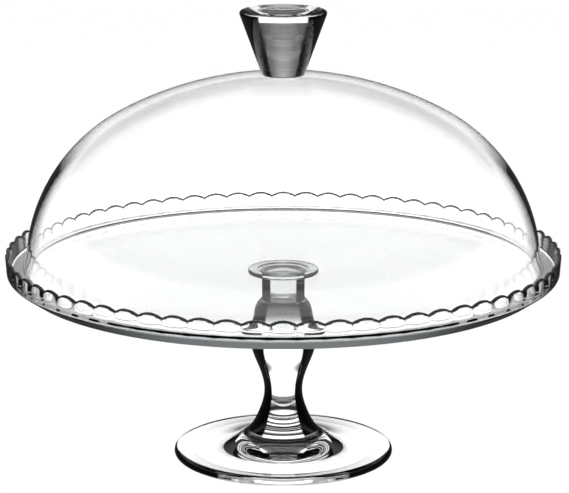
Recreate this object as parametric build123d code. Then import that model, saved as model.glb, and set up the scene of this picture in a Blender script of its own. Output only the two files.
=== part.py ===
"""Footed glass cake stand with a lift-off glass dome.

Millimetres, +Z up. The origin is the centre of the foot's underside, so the
stand's own axis is the Z axis. Every piece is a pressing turned about that
axis; only the plate's rim is scalloped.
"""

from math import asin, atan2, copysign, cos, pi, sin, sqrt
import os

from build123d import *

# ---------------------------------------------------------------- driving sizes
# Pedestal
FOOT_RADIUS = 64.2
FOOT_EDGE_HEIGHT = 4.7
FOOT_EDGE_ROUND = 1.6
FOOT_RECESS_RADIUS = 52.0
FOOT_RECESS_DEPTH = 2.2
FOOT_FLARE = ((42.0, 6.5), (28.5, 10.0), (20.0, 15.8), (14.6, 25.0))
FOOT_SLOPE = (-1, 0.05)
WAIST_RADIUS = 11.1
WAIST_HEIGHT = 38.5
BODY_SWELL = ((13.2, 50.0), (17.4, 60.8))
BODY_RADIUS = 19.0
BODY_HEIGHT = 68.0
BODY_TAPER = (17.4, 78.0)
BODY_TOP = (15.4, 84.2)
BODY_TOP_SLOPE = (-0.55, 1)
SHOULDER_MIDDLE = (14.3, 85.8)
NECK_RADIUS = 12.4
NECK_FOOT_HEIGHT = 87.4
NECK_ROOT_ROUND = 0.8
FLANGE_RADIUS = 20.4
FLANGE_THICKNESS = 2.4
FLANGE_EDGE_ROUND = 0.5
FLANGE_COVE = 2.4
PEDESTAL_HEIGHT = 105.4
DISH_RADIUS = 14.8
DISH_FLOOR_RADIUS = 11.3
DISH_STEP = 0.9
DISH_DEPTH = 2.6

# Adhesive films
BOND_THICKNESS = 0.2
BOND_MARGIN = 0.5

# Plate
PLATE_RADIUS = 161.0
FLOOR_THICKNESS = 8.6
WALL_HEIGHT = 9.9
WALL_INNER_RADIUS = 158.6
WALL_INNER_FOOT_RADIUS = 157.6
HEEL_RADIUS = 150.5
HEEL_TOP = 2.0
HEEL_ROUND = 3.0
WALL_DRAFT = 0.7
LOBES = 68
LOBE_TOP_DROP = 2.3
LOBE_SIDE_DEPTH = 1.0
LOBE_SIDE_FADE = 11.5
LOBE_CREST_CLEAR = 0.12
ENVELOPE_MARGIN = 1.0
CUTTER_MARGIN = 3.0
WALL_EDGE_ROUND = 1.1
FLOOR_ROUND = 1.5

# Dome
DOME_RADIUS = 149.2
DOME_HEIGHT = 112.0
DOME_WALL = 3.2
SHOULDER_RADIUS = 99.2
LIP_RADIUS = 151.6
LIP_HEIGHT = 11.5
LIP_ROUND = 1.4
LIP_INNER_ROUND = 1.0

# Knob
KNOB_HEIGHT = 37.0
KNOB_BASE_RADIUS = 12.2
KNOB_TOP_RADIUS = 25.8
KNOB_BASE_ROUND = 0.6
KNOB_RIM_ROUND = 1.5
KNOB_DISH_RADIUS = 14.6
KNOB_DISH_STEP = 0.5
KNOB_DISH_BEVEL = 0.8
KNOB_DISH_DEPTH = 2.8

# ------------------------------------------------------------- levels up the axis
PLATE_UNDERSIDE = PEDESTAL_HEIGHT + BOND_THICKNESS
FLOOR_LEVEL = PLATE_UNDERSIDE + FLOOR_THICKNESS
WALL_TOP = FLOOR_LEVEL + WALL_HEIGHT
DOME_APEX = FLOOR_LEVEL + DOME_HEIGHT
KNOB_BASE = DOME_APEX + BOND_THICKNESS
KNOB_TOP = KNOB_BASE + KNOB_HEIGHT

# The crown arc meets the shoulder arc tangent, with its centre on the axis.
SHOULDER_CENTRE = DOME_RADIUS - SHOULDER_RADIUS
CROWN_RADIUS = (SHOULDER_CENTRE**2 + DOME_HEIGHT**2 - SHOULDER_RADIUS**2) / (
    2 * (DOME_HEIGHT - SHOULDER_RADIUS)
)
CROWN_CENTRE_Z = DOME_APEX - CROWN_RADIUS


def turned(edges, rounds=()):
    """Solid of revolution about Z from a closed outline of radius and height.

    Each of rounds is a sharp corner of the outline and the radius it gets.
    """
    outline = make_face(edges)
    for corner, radius in rounds:
        outline = fillet(outline.vertices().sort_by_distance(Vector(*corner))[0], radius)
    return revolve(Plane.XZ * outline, axis=Axis.Z)


def chain(*points):
    """Straight edges from point to point."""
    return [Line(start, end) for start, end in zip(points, points[1:])]


def cap_arc(rim_radius, rim_z, apex_z):
    """Arc of a spherical cap, from its rim in to the axis."""
    rise = apex_z - rim_z
    sphere = (rim_radius**2 + rise**2) / (2 * abs(rise))
    drop = copysign(sphere - sqrt(sphere**2 - rim_radius**2 / 4), rise)
    return ThreePointArc((rim_radius, rim_z), (rim_radius / 2, apex_z - drop), (0, apex_z))


def pedestal():
    """Thin round foot, flared waist, baluster body, neck and dished flange."""
    top = PEDESTAL_HEIGHT
    foot_shoulder = FOOT_RADIUS - FOOT_EDGE_ROUND
    flange_underside = top - FLANGE_THICKNESS
    neck_foot = (NECK_RADIUS, NECK_FOOT_HEIGHT)
    neck_top = (NECK_RADIUS, flange_underside)
    flange_low = (FLANGE_RADIUS, flange_underside)
    flange_high = (FLANGE_RADIUS, top)
    dish_floor = top - DISH_STEP
    baluster = Spline(
        (foot_shoulder, FOOT_EDGE_HEIGHT),
        *FOOT_FLARE,
        (WAIST_RADIUS, WAIST_HEIGHT),
        *BODY_SWELL,
        (BODY_RADIUS, BODY_HEIGHT),
        BODY_TAPER,
        BODY_TOP,
        tangents=(FOOT_SLOPE, BODY_TOP_SLOPE),
    )
    outline = [
        cap_arc(FOOT_RECESS_RADIUS, 0, FOOT_RECESS_DEPTH),
        Line((FOOT_RECESS_RADIUS, 0), (foot_shoulder, 0)),
        ThreePointArc(
            (foot_shoulder, 0),
            (FOOT_RADIUS, FOOT_EDGE_HEIGHT / 2),
            (foot_shoulder, FOOT_EDGE_HEIGHT),
        ),
        baluster,
        ThreePointArc(BODY_TOP, SHOULDER_MIDDLE, neck_foot),
        *chain(neck_foot, neck_top, flange_low, flange_high, (DISH_RADIUS, top)),
        Line((DISH_RADIUS, top), (DISH_FLOOR_RADIUS, dish_floor)),
        cap_arc(DISH_FLOOR_RADIUS, dish_floor, top - DISH_DEPTH),
        Line((0, top - DISH_DEPTH), (0, FOOT_RECESS_DEPTH)),
    ]
    rounds = [
        (neck_foot, NECK_ROOT_ROUND),
        (neck_top, FLANGE_COVE),
        (flange_low, FLANGE_EDGE_ROUND),
        (flange_high, FLANGE_EDGE_ROUND),
    ]
    return turned(outline, rounds)


def pedestal_bond():
    """Clear adhesive ring between the flange's land and the plate."""
    inner = DISH_RADIUS + BOND_MARGIN
    outer = FLANGE_RADIUS - FLANGE_EDGE_ROUND - BOND_MARGIN
    ring = Cylinder(outer, BOND_THICKNESS) - Cylinder(inner, BOND_THICKNESS)
    return Pos(0, 0, PEDESTAL_HEIGHT + BOND_THICKNESS / 2) * ring


def plate_blank():
    """The plate before scalloping: thick floor, bevelled heel and plain upright wall."""
    heel = (HEEL_RADIUS, PLATE_UNDERSIDE)
    wall_foot = (PLATE_RADIUS - WALL_DRAFT, FLOOR_LEVEL - HEEL_TOP)
    outer_top = (PLATE_RADIUS, WALL_TOP)
    inner_top = (WALL_INNER_RADIUS, WALL_TOP)
    inner_foot = (WALL_INNER_FOOT_RADIUS, FLOOR_LEVEL)
    corners = [heel, wall_foot, outer_top, inner_top, inner_foot]
    axis_low = (0, PLATE_UNDERSIDE)
    outline = chain(axis_low, *corners, (0, FLOOR_LEVEL), axis_low)
    radii = [HEEL_ROUND, HEEL_ROUND, WALL_EDGE_ROUND, WALL_EDGE_ROUND, FLOOR_ROUND]
    return turned(outline, zip(corners, radii))


def lobed_outline(z, crest_radius, valley_radius):
    """Closed outline of convex lobes that meet in narrow valleys."""
    pitch = 2 * pi / LOBES

    def at(radius, turn):
        return (radius * cos(turn * pitch), radius * sin(turn * pitch), z)

    arcs = [
        ThreePointArc(at(valley_radius, i - 0.5), at(crest_radius, i), at(valley_radius, i + 0.5))
        for i in range(LOBES)
    ]
    return make_face(arcs)


def lobed_envelope():
    """Tapered solid with lobed sides; its valleys leave the wall as they go down."""
    low = PLATE_UNDERSIDE - ENVELOPE_MARGIN
    high = WALL_TOP + ENVELOPE_MARGIN
    crest = PLATE_RADIUS + LOBE_CREST_CLEAR
    valley = PLATE_RADIUS - LOBE_SIDE_DEPTH
    taper = LOBE_SIDE_DEPTH / LOBE_SIDE_FADE
    spread = taper * (WALL_TOP - low)
    pinch = taper * (high - WALL_TOP)
    bottom = lobed_outline(low, crest + spread, valley + spread)
    top = lobed_outline(high, crest - pinch, valley - pinch)
    return loft([bottom, top], ruled=True)


def rim_notch():
    """Cutter between two neighbouring lobes that rounds their tops off."""
    half_pitch = PLATE_RADIUS * pi / LOBES
    crest = WALL_TOP + LOBE_CREST_CLEAR
    drop = crest - (WALL_TOP - LOBE_TOP_DROP)
    arc_radius = (half_pitch**2 + drop**2) / (2 * drop)
    valley = (0, WALL_TOP - LOBE_TOP_DROP)
    left = (-half_pitch, crest)
    right = (half_pitch, crest)
    high = WALL_TOP + CUTTER_MARGIN
    outline = make_face(
        [
            RadiusArc(left, valley, arc_radius),
            RadiusArc(valley, right, arc_radius),
            Line(right, (half_pitch, high)),
            Line((half_pitch, high), (-half_pitch, high)),
            Line((-half_pitch, high), left),
        ]
    )
    start = WALL_INNER_FOOT_RADIUS
    reach = PLATE_RADIUS + CUTTER_MARGIN - start
    return extrude(Plane.YZ.offset(start) * outline, amount=reach)


def plate():
    """Flat plate with an upright wall of rounded, outward-bulging lobes."""
    body = plate_blank() & lobed_envelope()
    notch = rim_notch()
    notches = [Rot(0, 0, (i + 0.5) * 360 / LOBES) * notch for i in range(LOBES)]
    return body - notches


def dome():
    """Thin shell: crown arc, tangent shoulder arc and a slightly flared lip."""
    inner_apex = DOME_APEX - DOME_WALL
    inner_crown = CROWN_RADIUS - DOME_WALL
    inner_shoulder = SHOULDER_RADIUS - DOME_WALL
    lean = atan2(FLOOR_LEVEL - CROWN_CENTRE_Z, SHOULDER_CENTRE)

    def on_crown(radius, angle):
        return (radius * cos(angle), CROWN_CENTRE_Z + radius * sin(angle))

    def on_shoulder(radius, angle):
        return (SHOULDER_CENTRE + radius * cos(angle), FLOOR_LEVEL + radius * sin(angle))

    lip_angle = asin(LIP_HEIGHT / SHOULDER_RADIUS)
    lip_slope = (sin(lip_angle), -cos(lip_angle))
    lip_start = on_shoulder(SHOULDER_RADIUS, lip_angle)
    lip_edge = (LIP_RADIUS, FLOOR_LEVEL)
    inner_start = on_shoulder(inner_shoulder, lip_angle)
    inner_edge = (LIP_RADIUS - DOME_WALL, FLOOR_LEVEL)
    mid_crown = (lean + pi / 2) / 2
    mid_shoulder = (lean + lip_angle) / 2
    outline = [
        ThreePointArc(
            (0, DOME_APEX), on_crown(CROWN_RADIUS, mid_crown), on_crown(CROWN_RADIUS, lean)
        ),
        ThreePointArc(
            on_shoulder(SHOULDER_RADIUS, lean),
            on_shoulder(SHOULDER_RADIUS, mid_shoulder),
            lip_start,
        ),
        TangentArc(lip_start, lip_edge, tangent=lip_slope),
        Line(lip_edge, inner_edge),
        TangentArc(inner_start, inner_edge, tangent=lip_slope),
        ThreePointArc(
            inner_start,
            on_shoulder(inner_shoulder, mid_shoulder),
            on_shoulder(inner_shoulder, lean),
        ),
        ThreePointArc(
            on_crown(inner_crown, lean), on_crown(inner_crown, mid_crown), (0, inner_apex)
        ),
        Line((0, inner_apex), (0, DOME_APEX)),
    ]
    return turned(outline, [(lip_edge, LIP_ROUND), (inner_edge, LIP_INNER_ROUND)])


def crown_height(radius):
    """Height of the dome's outer surface at a radius near the axis."""
    return CROWN_CENTRE_Z + sqrt(CROWN_RADIUS**2 - radius**2)


def knob_bond():
    """Clear adhesive pad that fills between the curved crown and the flat knob."""
    radius = KNOB_BASE_RADIUS - KNOB_BASE_ROUND - BOND_MARGIN
    edge_foot = (radius, crown_height(radius))
    crown = ThreePointArc((0, DOME_APEX), (radius / 2, crown_height(radius / 2)), edge_foot)
    return turned([crown, *chain(edge_foot, (radius, KNOB_BASE), (0, KNOB_BASE), (0, DOME_APEX))])


def knob():
    """Solid inverted cone frustum with rounded edges and a small dish in its top."""
    base = (KNOB_BASE_RADIUS, KNOB_BASE)
    rim = (KNOB_TOP_RADIUS, KNOB_TOP)
    dish_edge = (KNOB_DISH_RADIUS, KNOB_TOP)
    dish_foot = (KNOB_DISH_RADIUS - KNOB_DISH_BEVEL, KNOB_TOP - KNOB_DISH_STEP)
    outline = [
        *chain((0, KNOB_BASE), base, rim, dish_edge, dish_foot),
        cap_arc(*dish_foot, KNOB_TOP - KNOB_DISH_DEPTH),
        Line((0, KNOB_TOP - KNOB_DISH_DEPTH), (0, KNOB_BASE)),
    ]
    return turned(outline, [(base, KNOB_BASE_ROUND), (rim, KNOB_RIM_ROUND)])


PARTS = {
    "pedestal": pedestal,
    "pedestal_bond": pedestal_bond,
    "plate": plate,
    "dome": dome,
    "knob_bond": knob_bond,
    "knob": knob,
}


def main():
    os.makedirs("parts", exist_ok=True)
    for name, make in PARTS.items():
        export_step(make(), f"parts/{name}.step")


if __name__ == "__main__":
    main()
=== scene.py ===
"""Looks for the glass cake stand: turned glass meshes over the CAD frame, a pale floor and soft light."""

from math import asin, atan2, cos, hypot, pi, radians, sin, sqrt

import bmesh
import bpy
import numpy as np
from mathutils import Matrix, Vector


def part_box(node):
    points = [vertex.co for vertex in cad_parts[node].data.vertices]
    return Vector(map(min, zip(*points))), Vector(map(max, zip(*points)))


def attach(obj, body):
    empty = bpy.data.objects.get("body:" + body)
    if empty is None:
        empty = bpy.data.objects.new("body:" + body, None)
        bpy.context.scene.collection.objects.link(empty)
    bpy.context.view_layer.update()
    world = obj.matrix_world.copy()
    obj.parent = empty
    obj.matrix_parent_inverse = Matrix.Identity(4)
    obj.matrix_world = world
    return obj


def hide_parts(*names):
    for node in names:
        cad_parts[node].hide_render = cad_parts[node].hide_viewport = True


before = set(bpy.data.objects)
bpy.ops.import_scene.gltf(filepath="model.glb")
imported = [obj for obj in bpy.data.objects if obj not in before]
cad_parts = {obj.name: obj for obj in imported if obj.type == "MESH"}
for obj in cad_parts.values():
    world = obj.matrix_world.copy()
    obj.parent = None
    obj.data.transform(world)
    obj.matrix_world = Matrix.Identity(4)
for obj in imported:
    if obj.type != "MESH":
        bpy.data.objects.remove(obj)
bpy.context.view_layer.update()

MM = 0.001
ON_AXIS = 1e-6
TURN_STEPS = 240
# From a rounded corner to the holding point beside it
HOLD = 0.12
# From each face of an adhesive film to the glass
FILM_GAP = 0.04

GLASS_IOR = 1.52
RIPPLE_DETAIL = 2.0
RIPPLE_DEPTH = 0.2 * MM

# ------------------------------------------------------------- sizes, in millimetres


def levels(node):
    """(outer radius, lowest level, highest level) of a CAD node, in millimetres.

    The radius is the smallest half-width of its box, so that a turned piece stays inside it.
    """
    low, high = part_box(node)
    radius = min(high[0], high[1], -low[0], -low[1])
    return radius / MM, low[2] / MM, high[2] / MM


FOOT_RADIUS, FOOT_LEVEL, PEDESTAL_TOP = levels("pedestal")
PLATE_RADIUS, HEEL_LEVEL, WALL_TOP = levels("plate")
LIP_RADIUS, FLOOR_LEVEL, DOME_APEX = levels("dome")
KNOB_RADIUS, KNOB_BASE, KNOB_TOP = levels("knob")


# ------------------------------------------------------------- outlines


def arc(centre, radius, start, end, steps=24):
    """Points of an arc about centre, from one angle to another."""
    angles = np.linspace(start, end, steps)
    return [(centre[0] + radius * cos(a), centre[1] + radius * sin(a)) for a in angles]


def cap(rim_radius, rim_z, apex_z, steps=24):
    """Spherical cap from its rim in to the axis."""
    rise = apex_z - rim_z
    sphere = (rim_radius**2 + rise**2) / (2 * abs(rise))
    up = 1 if rise > 0 else -1
    radii = np.linspace(rim_radius, 0, steps)
    return [(r, apex_z - up * (sphere - sqrt(sphere**2 - r**2))) for r in radii]


def spline(points, start, end, steps=12):
    """Smooth cubic through the points, with clamped directions at both ends."""
    p = np.array(points, dtype=float)
    t = np.concatenate([[0], np.cumsum(np.hypot(*np.diff(p, axis=0).T))])
    h = np.diff(t)
    n = len(p)
    a = np.zeros((n, n))
    b = np.zeros((n, 2))
    a[0, 0] = a[-1, -1] = 1
    b[0] = np.array(start) / hypot(*start)
    b[-1] = np.array(end) / hypot(*end)
    for i in range(1, n - 1):
        a[i, i - 1] = h[i]
        a[i, i] = 2 * (h[i - 1] + h[i])
        a[i, i + 1] = h[i - 1]
        b[i] = 3 * (h[i] * (p[i] - p[i - 1]) / h[i - 1] + h[i - 1] * (p[i + 1] - p[i]) / h[i])
    m = np.linalg.solve(a, b)
    made = [tuple(p[0])]
    for i in range(n - 1):
        for s in np.linspace(0, 1, steps + 1)[1:]:
            q = (
                (2 * s**3 - 3 * s**2 + 1) * p[i]
                + (s**3 - 2 * s**2 + s) * h[i] * m[i]
                + (3 * s**2 - 2 * s**3) * p[i + 1]
                + (s**3 - s**2) * h[i] * m[i + 1]
            )
            made.append(tuple(q))
    return made


def rounded(points, steps=7):
    """Outline through the points; a third value on a point is the radius of its rounded corner.

    A holding point on each side of a round keeps the shading of the straight stretch beside it flat.
    """
    made = []
    for i, point in enumerate(points):
        if len(point) == 2:
            made.append(tuple(point))
            continue
        corner = Vector(point[:2])
        to_prev = (Vector(points[i - 1][:2]) - corner).normalized()
        to_next = (Vector(points[i + 1][:2]) - corner).normalized()
        half = to_prev.angle(to_next) / 2
        reach = point[2] / np.tan(half)
        centre = corner + (to_prev + to_next).normalized() * point[2] / sin(half)
        first = corner + to_prev * reach - centre
        last = corner + to_next * reach - centre
        start = atan2(first.y, first.x)
        sweep = (atan2(last.y, last.x) - start + pi) % (2 * pi) - pi
        made.append(tuple(corner + to_prev * (reach + HOLD)))
        made += arc(centre, point[2], start, start + sweep, steps)
        made.append(tuple(corner + to_next * (reach + HOLD)))
    return made


# ------------------------------------------------------------- meshes


def mesh_object(name, vertices, faces):
    """Smooth-shaded object from points in millimetres."""
    mesh = bpy.data.meshes.new(name)
    mesh.from_pydata([tuple(c * MM for c in v) for v in vertices], [], faces)
    form = bmesh.new()
    form.from_mesh(mesh)
    bmesh.ops.recalc_face_normals(form, faces=form.faces)
    form.to_mesh(mesh)
    form.free()
    mesh.polygons.foreach_set("use_smooth", [True] * len(mesh.polygons))
    mesh.update()
    made = bpy.data.objects.new(name, mesh)
    bpy.context.collection.objects.link(made)
    made.visible_diffuse = False
    return made


def turn(name, outline, angles=None, shape=None, closed=False):
    """Turns an outline about Z. It starts and ends on the axis, or is closed.

    shape(r, z, angle) may move each turned point; it returns the new (r, z).
    """
    if angles is None:
        angles = [2 * pi * k / TURN_STEPS for k in range(TURN_STEPS)]
    count = len(angles)
    vertices, rows = [], []
    for r, z in outline:
        if r < ON_AXIS:
            rows.append([len(vertices)] * count)
            vertices.append((0, 0, z))
            continue
        rows.append(range(len(vertices), len(vertices) + count))
        for a in angles:
            rr, zz = shape(r, z, a) if shape else (r, z)
            vertices.append((rr * cos(a), rr * sin(a), zz))
    pairs = list(zip(rows, rows[1:]))
    if closed:
        pairs.append((rows[-1], rows[0]))
    faces = []
    for low, high in pairs:
        for k in range(count):
            n = (k + 1) % count
            face = (low[k], low[n], high[n], high[k])
            faces.append(tuple(dict.fromkeys(face)))
    return mesh_object(name, vertices, faces)


# ------------------------------------------------------------- materials


def smooth_range(nodes, links, source, low, high):
    """Smooth step of a value from 0 at low to 1 at high."""
    step = nodes.new("ShaderNodeMapRange")
    step.interpolation_type = "SMOOTHSTEP"
    step.inputs["From Min"].default_value = low
    step.inputs["From Max"].default_value = high
    links.new(source, step.inputs["Value"])
    return step.outputs["Result"]


def arithmetic(nodes, links, operation, *values):
    """Math node on one or two values, each a number or a socket."""
    node = nodes.new("ShaderNodeMath")
    node.operation = operation
    for socket, value in zip(node.inputs, values):
        if isinstance(value, float):
            socket.default_value = value
        else:
            links.new(value, socket)
    return node.outputs["Value"]


def glass(
    name,
    tint,
    edge,
    upright,
    ripple_scale,
    ripple_strength,
    smear=(1, 1, 1),
    backs=False,
):
    """Clear pressed glass: faint ripples, painted shade where an upright surface turns away, open to
    lamps.

    edge gives the two facing values between which an upright surface is painted dark,
    and upright the two slopes of the normal between which a level surface stays clear of it.
    smear stretches the ripples along an axis, and backs paints the shade on the faces seen from inside
    too.
    """
    material = bpy.data.materials.new(name)
    material.use_nodes = True
    nodes, links = material.node_tree.nodes, material.node_tree.links
    shader = nodes["Principled BSDF"]
    output = nodes["Material Output"]
    shader.inputs["Transmission Weight"].default_value = 1.0
    shader.inputs["IOR"].default_value = GLASS_IOR
    shader.inputs["Roughness"].default_value = 0.0

    # Painted shade: how far the surface's horizontal normal turns away from the viewer, which blackens
    # the base colour
    geometry = nodes.new("ShaderNodeNewGeometry")
    split = nodes.new("ShaderNodeSeparateXYZ")
    links.new(geometry.outputs["Normal"], split.inputs["Vector"])
    flat = nodes.new("ShaderNodeCombineXYZ")
    links.new(split.outputs["X"], flat.inputs["X"])
    links.new(split.outputs["Y"], flat.inputs["Y"])
    outward = nodes.new("ShaderNodeVectorMath")
    outward.operation = "NORMALIZE"
    links.new(flat.outputs["Vector"], outward.inputs[0])
    facing = nodes.new("ShaderNodeLayerWeight")
    facing.inputs["Blend"].default_value = 0.5
    links.new(outward.outputs["Vector"], facing.inputs["Normal"])
    painted_shade = smooth_range(nodes, links, facing.outputs["Facing"], *edge)
    if not backs:
        outside = arithmetic(nodes, links, "SUBTRACT", 1.0, geometry.outputs["Backfacing"])
        painted_shade = arithmetic(nodes, links, "MULTIPLY", painted_shade, outside)

    # A level surface stays clear of the painted shade
    slope = arithmetic(nodes, links, "ABSOLUTE", split.outputs["Z"])
    level = smooth_range(nodes, links, slope, *upright)
    keep = arithmetic(nodes, links, "SUBTRACT", 1.0, level)
    painted_shade = arithmetic(nodes, links, "MULTIPLY", painted_shade, keep)
    # The painted shade mixes the glass's tint towards black in the base colour
    colour = nodes.new("ShaderNodeMix")
    colour.data_type = "RGBA"
    colour.inputs["A"].default_value = (*tint, 1)
    colour.inputs["B"].default_value = (0, 0, 0, 1)
    links.new(painted_shade, colour.inputs["Factor"])
    links.new(colour.outputs["Result"], shader.inputs["Base Color"])

    # The faint ripples of pressed glass
    place = nodes.new("ShaderNodeTexCoord")
    stretch = nodes.new("ShaderNodeMapping")
    stretch.inputs["Scale"].default_value = smear
    ripple = nodes.new("ShaderNodeTexNoise")
    ripple.inputs["Scale"].default_value = ripple_scale
    ripple.inputs["Detail"].default_value = RIPPLE_DETAIL
    bump = nodes.new("ShaderNodeBump")
    bump.inputs["Strength"].default_value = ripple_strength
    bump.inputs["Distance"].default_value = RIPPLE_DEPTH
    links.new(place.outputs["Object"], stretch.inputs["Vector"])
    links.new(stretch.outputs["Vector"], ripple.inputs["Vector"])
    links.new(ripple.outputs["Fac"], bump.inputs["Height"])
    links.new(bump.outputs["Normal"], shader.inputs["Normal"])

    # Light from lamps and the sky passes straight through
    path = nodes.new("ShaderNodeLightPath")
    clear = nodes.new("ShaderNodeBsdfTransparent")
    mix = nodes.new("ShaderNodeMixShader")
    links.new(path.outputs["Is Shadow Ray"], mix.inputs["Fac"])
    links.new(shader.outputs["BSDF"], mix.inputs[1])
    links.new(clear.outputs["BSDF"], mix.inputs[2])
    links.new(mix.outputs["Shader"], output.inputs["Surface"])
    return material


# ------------------------------------------------------------- pieces


def make_pedestal():
    """Foot with a shallow recess below, baluster, neck, and a flange with a dished top."""
    recess_radius, recess_depth = 52.0, 2.2
    foot_edge, foot_round = 4.7, 1.6
    shoulder_foot, shoulder_lean = (15.4, 84.2), (-0.55, 1)
    neck, neck_round, flange, flange_round = 12.4, 2.4, 20.4, 0.5
    neck_foot = (neck + 0.3, 87.3)
    flange_under = PEDESTAL_TOP - 2.4
    dish_rim, dish_foot, dish_round = 14.8, 11.3, 0.3
    dish_level, dish_radius, dish_bottom = PEDESTAL_TOP - 0.9, 11.0, PEDESTAL_TOP - 2.6
    shoulder_r = FOOT_RADIUS - foot_round
    edge_radius = (foot_round**2 + (foot_edge / 2) ** 2) / (2 * foot_round)
    edge_half = asin(foot_edge / 2 / edge_radius)
    body = spline(
        [
            (shoulder_r, foot_edge),
            (42.0, 6.5),
            (28.5, 10.0),
            (20.0, 15.8),
            (14.6, 25.0),
            (11.1, 38.5),
            (13.2, 50.0),
            (17.4, 60.8),
            (19.0, 68.0),
            (17.4, 78.0),
            shoulder_foot,
        ],
        (-1, 0.05),
        shoulder_lean,
    )
    shoulder = spline([shoulder_foot, (14.3, 85.8), neck_foot], shoulder_lean, (-1, 0.55), 6)
    outline = [
        *reversed(cap(recess_radius, 0, recess_depth)),
        (recess_radius + HOLD, 0),
        (shoulder_r - HOLD, 0),
        *arc((FOOT_RADIUS - edge_radius, foot_edge / 2), edge_radius, -edge_half, edge_half),
        *body[1:],
        *shoulder[1:-1],
        *rounded(
            [
                neck_foot,
                (neck, 88.2),
                (neck, flange_under, neck_round),
                (flange, flange_under, flange_round),
                (flange, PEDESTAL_TOP, flange_round),
                (dish_rim, PEDESTAL_TOP, dish_round),
                (dish_foot, dish_level, dish_round),
                (0, dish_level),
            ]
        )[:-2],
        *cap(dish_radius, dish_level, dish_bottom),
    ]
    piece = turn("pedestal_glass", outline)
    # The glass paints black shade over the outer part of the pedestal's sides
    piece.data.materials.append(
        glass("pedestal_glass", (0.985, 0.992, 0.99), (0.2, 0.25), (0.7, 0.9), 60, 0.05, (1, 1, 6))
    )
    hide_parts("pedestal")
    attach(piece, "stand")


LOBES = 68
LOBE_STEPS = 12


def make_plate():
    """Flat floor and an upright wall of lobes, on a rounded heel; the heel and the top of the rim carry
    painted shade.
    """
    inner_top, inner_foot, inner_round = 158.6, 157.6, 1.5
    heel_radius, heel_round, crest_round = 150.5, 3.0, 1.2
    drop, side_depth, fade = 2.3, 1.0, 11.5
    wall_foot = (PLATE_RADIUS - 0.7, FLOOR_LEVEL - 2.0)
    wall_top = (PLATE_RADIUS, WALL_TOP - crest_round)
    arch_base = WALL_TOP - 7.0
    # The last value is the height below the crest that gets the rim's painted shade
    heel_from, heel_above, painted_shade_band = 150, 0.5, 1.5

    def lobe(angle):
        """Place across a lobe: 0 at its crest, 1 in the valleys beside it."""
        turns = angle * LOBES / (2 * pi)
        return abs(turns - round(turns)) * 2

    def crest_line(angle):
        """Height of the scalloped rim."""
        return WALL_TOP - drop * lobe(angle) ** 2

    def scallop(r, z, angle):
        """Draws the wall in between lobes, and arches its top."""
        u = lobe(angle)
        if r > inner_top and z > wall_foot[1]:
            share = min(1, (r - inner_top) / (wall_foot[0] - inner_top))
            r -= share * side_depth * u**2 * max(0, 1 - (WALL_TOP - z) / fade)
        if z > arch_base and r > inner_foot - 1:
            z = arch_base + (z - arch_base) * (crest_line(angle) - arch_base) / (WALL_TOP - arch_base)
        return r, z

    wall = [
        tuple(foot + (top - foot) * s for foot, top in zip(wall_foot, wall_top))
        for s in np.linspace(0.2, 1, 14)
    ]
    outline = [
        *rounded(
            [
                (0, HEEL_LEVEL),
                (heel_radius, HEEL_LEVEL, heel_round),
                (*wall_foot, heel_round),
                wall[0],
            ]
        ),
        *wall[1:-1],
        *rounded(
            [
                wall[-1],
                (PLATE_RADIUS, WALL_TOP, crest_round),
                (inner_top, WALL_TOP, crest_round),
                (inner_foot, FLOOR_LEVEL, inner_round),
                (0, FLOOR_LEVEL),
            ]
        )[1:],
    ]
    # More steps towards the valleys, where the lobes meet sharply
    spots = [sin(pi / 2 * (2 * k / LOBE_STEPS - 1)) / 2 for k in range(LOBE_STEPS)]
    angles = [2 * pi * (i + s) / LOBES for i in range(LOBES) for s in spots]
    piece = turn("plate_glass", outline, angles, scallop)
    # The glass paints dark shade on the plate's turned-away walls, on faces seen from inside as well
    piece.data.materials.append(
        glass("plate_glass", (0.98, 0.992, 0.988), (0.36, 0.78), (0.5, 0.8), 30, 0.04, backs=True)
    )

    # Painted shade on the heel: seen from outside its glass is tinted grey and lets only part of the
    # light through; seen from inside the plate it is near clear
    edge = glass("plate_edge", (0.46, 0.5, 0.51), (0.04, 0.36), (0.9, 1.0), 30, 0.04)
    nodes, links = edge.node_tree.nodes, edge.node_tree.links
    nodes["Principled BSDF"].inputs["Transmission Weight"].default_value = 0.55
    inside = nodes.new("ShaderNodeMix")
    inside.data_type = "RGBA"
    inside.inputs["B"].default_value = (0.97, 0.98, 0.98, 1)
    links.new(nodes["Geometry"].outputs["Backfacing"], inside.inputs["Factor"])
    links.new(nodes["Mix"].outputs["Result"], inside.inputs["A"])
    links.new(inside.outputs["Result"], nodes["Principled BSDF"].inputs["Base Color"])
    piece.data.materials.append(edge)
    # Painted shade: near-black glass on the faces just below the crest line, drawing a dark line along
    # the rim
    piece.data.materials.append(
        glass("plate_rim_painted_shade", (0.006, 0.006, 0.006), (0.34, 0.54), (0.5, 0.8), 30, 0.04)
    )
    # Heel faces take the heel's painted shade, and faces near the crest the rim's painted shade
    for face in piece.data.polygons:
        x, y, z = face.center / MM
        if hypot(x, y) > heel_from and z < wall_foot[1] + heel_above:
            face.material_index = 1
        elif z > crest_line(atan2(y, x)) - painted_shade_band:
            face.material_index = 2
    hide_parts("plate")
    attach(piece, "stand")


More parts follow.
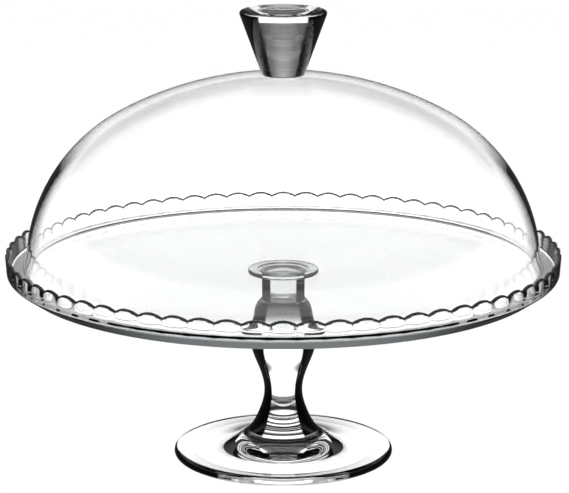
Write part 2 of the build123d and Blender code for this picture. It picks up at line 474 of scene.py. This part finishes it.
def make_dome():
    """Thin shell: a crown arc, a shoulder arc and a slightly flared lip."""
    thick, radius, shoulder = 3.2, 149.2, 99.2
    flare_height, lip_height, outer_round, inner_round = 11.5, 1.6, 1.4, 1.0
    height = DOME_APEX - FLOOR_LEVEL
    centre = (radius - shoulder, FLOOR_LEVEL)
    crown = (centre[0] ** 2 + height**2 - shoulder**2) / (2 * (height - shoulder))
    crown_centre = (0, DOME_APEX - crown)
    lean = atan2(FLOOR_LEVEL - crown_centre[1], centre[0])
    lip_start = asin(flare_height / shoulder)
    lip_inside = LIP_RADIUS - thick
    lip_level = FLOOR_LEVEL + lip_height

    outer_from = arc(centre, shoulder, lip_start, lip_start, 1)[0]
    inner_from = arc(centre, shoulder - thick, lip_start, lip_start, 1)[0]
    down = (sin(lip_start), -cos(lip_start))
    up = (-sin(lip_start), cos(lip_start))
    flare = spline([outer_from, (LIP_RADIUS, lip_level)], down, (0.25, -1), 10)
    inner_flare = spline([(lip_inside, lip_level), inner_from], (-0.25, 1), up, 10)
    outline = [
        *arc(crown_centre, crown, pi / 2, lean, 40),
        *arc(centre, shoulder, lean, lip_start, 48)[1:],
        *flare[1:-1],
        *rounded(
            [
                flare[-1],
                (LIP_RADIUS, FLOOR_LEVEL, outer_round),
                (lip_inside, FLOOR_LEVEL, inner_round),
                inner_flare[0],
            ]
        ),
        *inner_flare[1:-1],
        *arc(centre, shoulder - thick, lip_start, lean, 48),
        *arc(crown_centre, crown - thick, lean, pi / 2, 40)[1:],
    ]
    outline[0] = (0, DOME_APEX)
    outline[-1] = (0, DOME_APEX - thick)
    piece = turn("dome_glass", outline)
    # The glass paints dark shade only near the dome's turned-away edges
    piece.data.materials.append(
        glass("dome_glass", (0.99, 0.995, 0.993), (0.7, 0.91), (0.6, 0.9), 18, 0.03)
    )
    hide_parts("dome")
    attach(piece, "cover")


def make_knob():
    """Solid cone, wide end up, with a dished top."""
    base, base_round = 12.2, 0.6
    corner, corner_round = KNOB_RADIUS + 0.6, 1.6
    dish_rim, rim_round = 14.6, 0.4
    dish_foot, foot_round, dish_level = 13.8, 0.3, KNOB_TOP - 0.5
    dish_radius, dish_bottom = 13.5, KNOB_TOP - 2.8
    outline = rounded(
        [
            (0, KNOB_BASE),
            (base, KNOB_BASE, base_round),
            (corner, KNOB_TOP, corner_round),
            (dish_rim, KNOB_TOP, rim_round),
            (dish_foot, dish_level, foot_round),
            (0, dish_level),
        ]
    )[:-2] + cap(dish_radius, dish_level, dish_bottom)
    piece = turn("knob_glass", outline)
    # The glass paints black shade over the outer part of the knob's sides
    piece.data.materials.append(
        glass("knob_glass", (0.985, 0.99, 0.99), (0.14, 0.2), (0.6, 0.85), 60, 0.08, (1, 1, 6))
    )
    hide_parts("knob")
    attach(piece, "cover")


def make_bond(node, body, outline, closed):
    """Clear film whose faces stop just short of the glass, so that light crosses each surface once."""
    piece = turn(node + "_film", outline, closed=closed)
    # The glass paints dark shade only where the film is seen almost edge-on
    film = glass(node, (0.97, 0.97, 0.96), (0.9, 1.0), (0.5, 0.8), 200, 0.1)
    film.node_tree.nodes["Principled BSDF"].inputs["IOR"].default_value = 1.0
    piece.data.materials.append(film)
    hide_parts(node)
    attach(piece, body)


def make_bonds():
    """The ring under the plate and the pad under the knob."""
    outer, low, high = levels("pedestal_bond")
    inner = 15.3
    low, high = low + FILM_GAP, high - FILM_GAP
    ring = [(inner, low), (outer, low), (outer, high), (inner, high)]
    make_bond("pedestal_bond", "stand", ring, True)
    outer, low, high = levels("knob_bond")
    low, high = low + FILM_GAP, high - FILM_GAP
    pad = [(0, high), (outer, high), *cap(outer, low, DOME_APEX + FILM_GAP)]
    make_bond("knob_bond", "cover", pad, False)


# ------------------------------------------------------------- studio


def make_floor():
    """Matt pale floor, which glass neither reflects nor shows through itself."""
    mesh = bpy.data.meshes.new("floor")
    half = 4.0
    corners = [(-half, -half, 0), (half, -half, 0), (half, half, 0), (-half, half, 0)]
    mesh.from_pydata(corners, [], [(0, 1, 2, 3)])
    floor = bpy.data.objects.new("floor", mesh)
    bpy.context.collection.objects.link(floor)
    material = bpy.data.materials.new("floor")
    material.use_nodes = True
    shader = material.node_tree.nodes["Principled BSDF"]
    shader.inputs["Base Color"].default_value = (0.93, 0.93, 0.93, 1)
    shader.inputs["Roughness"].default_value = 0.9
    mesh.materials.append(material)
    floor.visible_transmission = False
    floor.visible_glossy = False


# Brightness of the studio at each elevation in degrees, as glass passes it on and as it reflects it
THROUGH = (
    (-90, 1.0),
    (-76, 1.0),
    (-62, 0.02),
    (-48, 0.02),
    (-38, 0.2),
    (-34, 0.2),
    (-22, 1.0),
    (10, 1.0),
    (12.3, 0.25),
    (13.8, 0.12),
    (17, 0.006),
    (90, 0.0),
)
REFLECTED = ((-90, 0.08), (-30, 0.08), (-12, 0.05), (20, 0.03), (30, 0.45), (70, 0.45), (90, 0.3))
PLAIN_LIGHT = 1.1
THROUGH_LIGHT = 1.65
REFLECTED_LIGHT = 1.0


def make_world():
    """A graded studio as glass sees it, and plain white to everything else."""
    world = bpy.data.worlds.new("studio")
    bpy.context.scene.world = world
    world.use_nodes = True
    nodes, links = world.node_tree.nodes, world.node_tree.links
    pale = nodes["Background"]
    pale.inputs["Color"].default_value = (1, 1, 1, 1)
    pale.inputs["Strength"].default_value = PLAIN_LIGHT
    place = nodes.new("ShaderNodeTexCoord")
    split = nodes.new("ShaderNodeSeparateXYZ")
    links.new(place.outputs["Generated"], split.inputs["Vector"])
    height = nodes.new("ShaderNodeMapRange")
    height.inputs["From Min"].default_value = -1.0
    links.new(split.outputs["Z"], height.inputs["Value"])

    def graded(grades, strength):
        """Background whose brightness follows the elevation."""
        ramp = nodes.new("ShaderNodeValToRGB")
        stops = ramp.color_ramp.elements
        stops[0].color = (*[grades[0][1]] * 3, 1)
        stops[1].color = (*[grades[-1][1]] * 3, 1)
        for elevation, level in grades[1:-1]:
            stops.new((sin(radians(elevation)) + 1) / 2).color = (level, level, level, 1)
        links.new(height.outputs["Result"], ramp.inputs["Fac"])
        light = nodes.new("ShaderNodeBackground")
        light.inputs["Strength"].default_value = strength
        links.new(ramp.outputs["Color"], light.inputs["Color"])
        return light.outputs["Background"]

    path = nodes.new("ShaderNodeLightPath")
    bounced = nodes.new("ShaderNodeMixShader")
    links.new(path.outputs["Is Glossy Ray"], bounced.inputs["Fac"])
    links.new(pale.outputs["Background"], bounced.inputs[1])
    links.new(graded(REFLECTED, REFLECTED_LIGHT), bounced.inputs[2])
    passed = nodes.new("ShaderNodeMixShader")
    links.new(path.outputs["Is Transmission Ray"], passed.inputs["Fac"])
    links.new(bounced.outputs["Shader"], passed.inputs[1])
    links.new(graded(THROUGH, THROUGH_LIGHT), passed.inputs[2])
    links.new(passed.outputs["Shader"], nodes["World Output"].inputs["Surface"])


CAMERA_PLACE = (0.0007, -1.608, 0.5197)
CAMERA_PITCH = 13.79
CAMERA_LENS = 180.4
GLASS_BOUNCES = 24
# Few enough that light piped along inside the glass stays dark
MIRROR_BOUNCES = 4


def make_camera():
    """Camera at the photograph's distance, looking a little down."""
    data = bpy.data.cameras.new("camera")
    camera = bpy.data.objects.new("camera", data)
    bpy.context.collection.objects.link(camera)
    data.sensor_width = 36.0
    data.lens = CAMERA_LENS
    data.clip_start, data.clip_end = 0.05, 50
    camera.location = CAMERA_PLACE
    camera.rotation_euler = (radians(90 - CAMERA_PITCH), 0, 0)
    bpy.context.scene.camera = camera


make_pedestal()
make_plate()
make_dome()
make_knob()
make_bonds()
make_floor()
make_world()
make_camera()
scene = bpy.context.scene
scene.view_settings.view_transform = "Standard"
scene.cycles.max_bounces = GLASS_BOUNCES
scene.cycles.transmission_bounces = GLASS_BOUNCES
scene.cycles.glossy_bounces = MIRROR_BOUNCES
